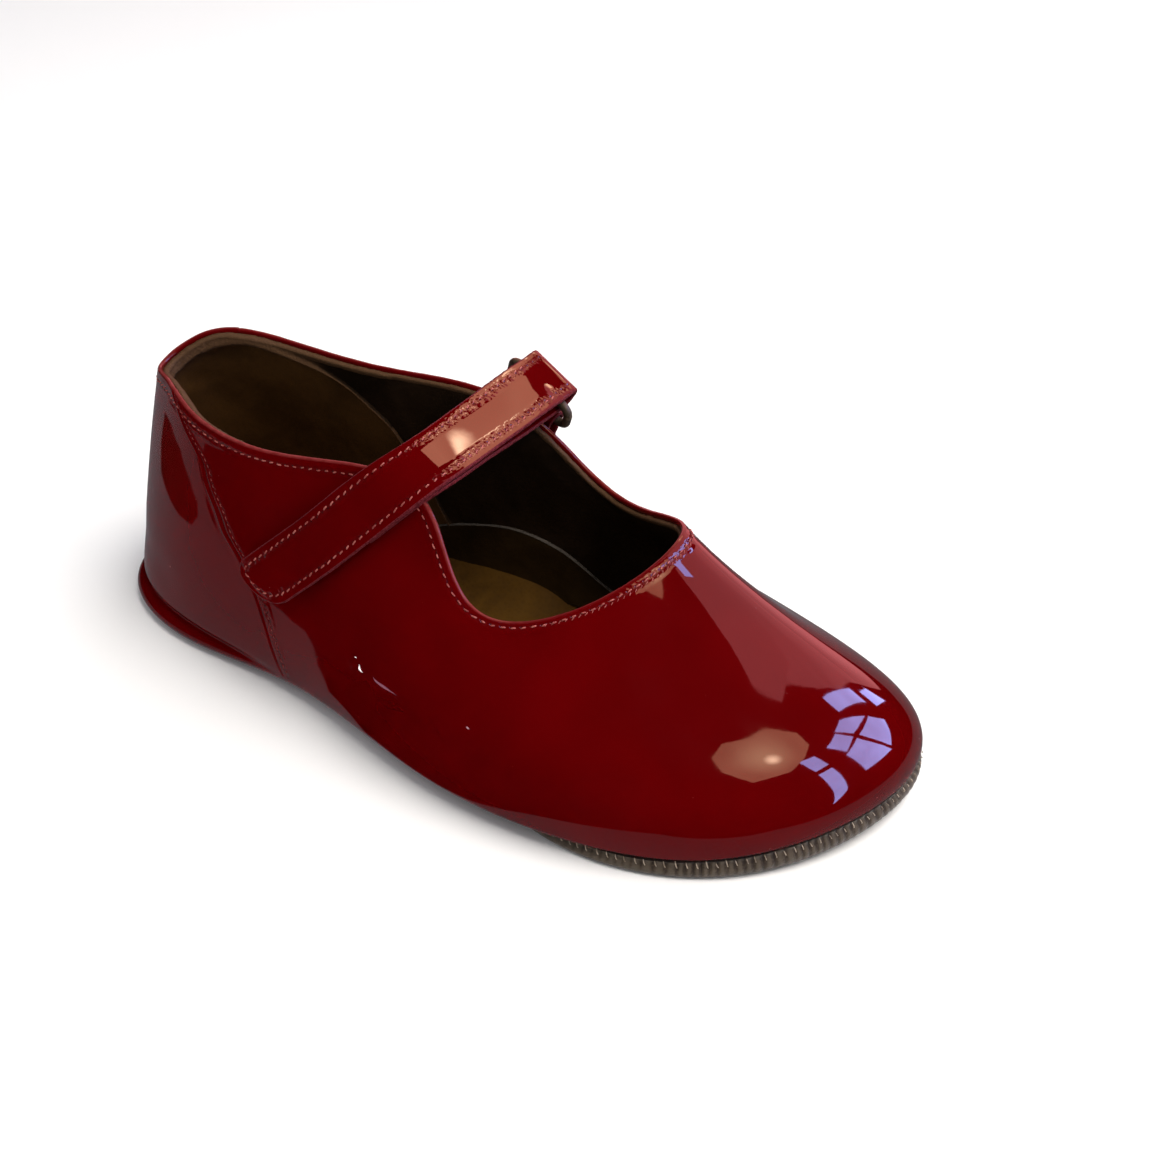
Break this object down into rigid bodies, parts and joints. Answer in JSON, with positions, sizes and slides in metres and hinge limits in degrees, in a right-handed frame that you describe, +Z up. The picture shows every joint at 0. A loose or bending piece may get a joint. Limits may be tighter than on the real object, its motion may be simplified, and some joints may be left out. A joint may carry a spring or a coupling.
{
  "type": "ballet flat with instep strap",
  "caption": "Child's patent leather ballet flat with a round toe, soft suede sole turned up at the forefoot, and a mary jane strap through a wire ring; right foot.",
  "frame": {"origin": "on the floor, under the middle of the shoe's box; the sole stands on Z = 0", "axes": "+X from heel to toe, +Y towards the shoe's inner side (the other foot), +Z up"},
  "size_m": [0.1718, 0.07, 0.0603],
  "materials": {
    "red_patent_leather": "deep red leather under a clear gloss coat, with a raw tan cut edge",
    "taupe_suede": "matt brown-grey suede with a short nap, gathered at its rim",
    "olive_lining_leather": "soft olive-brown lining leather, satin",
    "aged_brass": "dark aged brass wire, dull"
  },
  "bodies": {
    "root": {"upper": "red_patent_leather", "sole": "taupe_suede", "insole": "olive_lining_leather", "strap": "red_patent_leather", "ring": "aged_brass", "ring_keeper": "red_patent_leather"}
  },
  "joints": []
}
